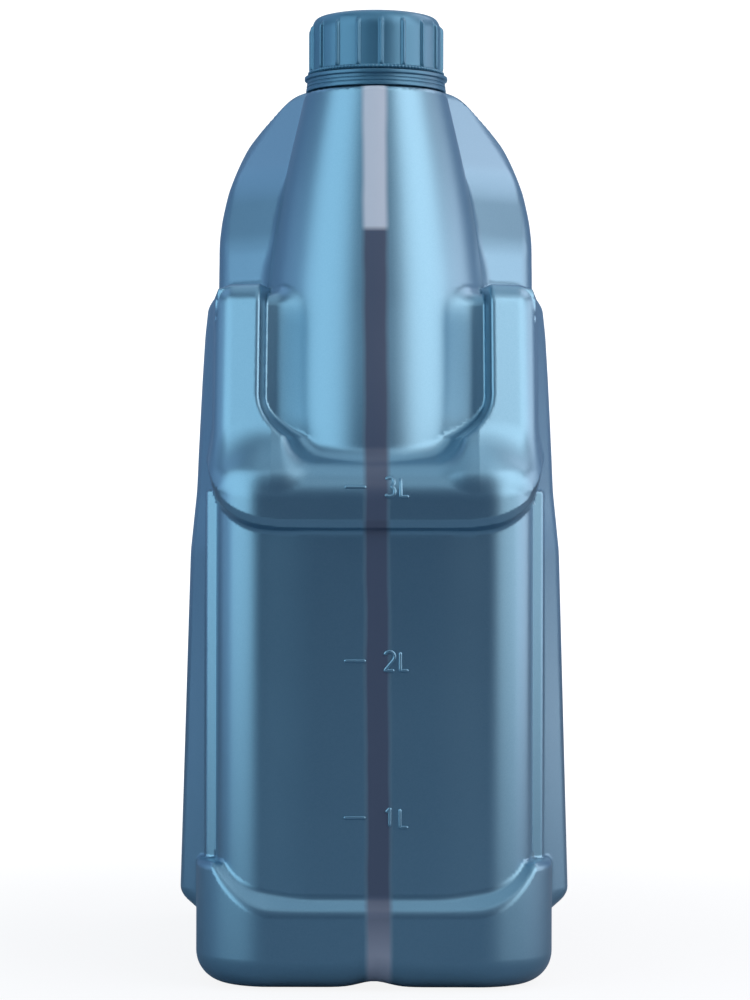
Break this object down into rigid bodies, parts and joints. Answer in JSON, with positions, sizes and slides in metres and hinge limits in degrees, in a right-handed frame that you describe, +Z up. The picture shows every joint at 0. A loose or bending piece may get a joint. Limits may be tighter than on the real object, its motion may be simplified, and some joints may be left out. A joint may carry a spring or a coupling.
{
  "type": "motor oil bottle",
  "caption": "Blow-moulded oil bottle with a pouring spout between pillars, raised side panels, a hollow handle and a ribbed screw cap that turns and lifts off the neck.",
  "frame": {"origin": "on the floor below the middle of the base", "axes": "+Z up, the pouring spout's narrow face toward -Y, the handle toward +Y, the broad sides toward -X and +X"},
  "size_m": [0.1262, 0.192, 0.3152],
  "materials": {
    "bottle": "satin pearl",
    "cap": "satin",
    "band": "satin",
    "liner": "matte foam",
    "oil": "clear amber"
  },
  "bodies": {
    "bottle": {"bottle_body": "bottle", "tamper_band": "band", "oil_fill": "oil"},
    "liner": {"cap_liner": "liner"},
    "cap": {"screw_cap": "cap"}
  },
  "joints": [
    {"name": "cap_rise", "type": "slide", "parent": "bottle", "child": "liner", "axis": [0, 0, 1], "range_m": [0, 0.016]},
    {"name": "cap_turn", "type": "hinge", "parent": "liner", "child": "cap", "pos_m": [0, -0.0325, 0.3], "axis": [0, 0, 1], "range_deg": [0, 1440]}
  ],
  "couplings": [
    {"joint": "cap_rise", "follows": "cap_turn", "m_per_rad": 0.00063662}
  ]
}
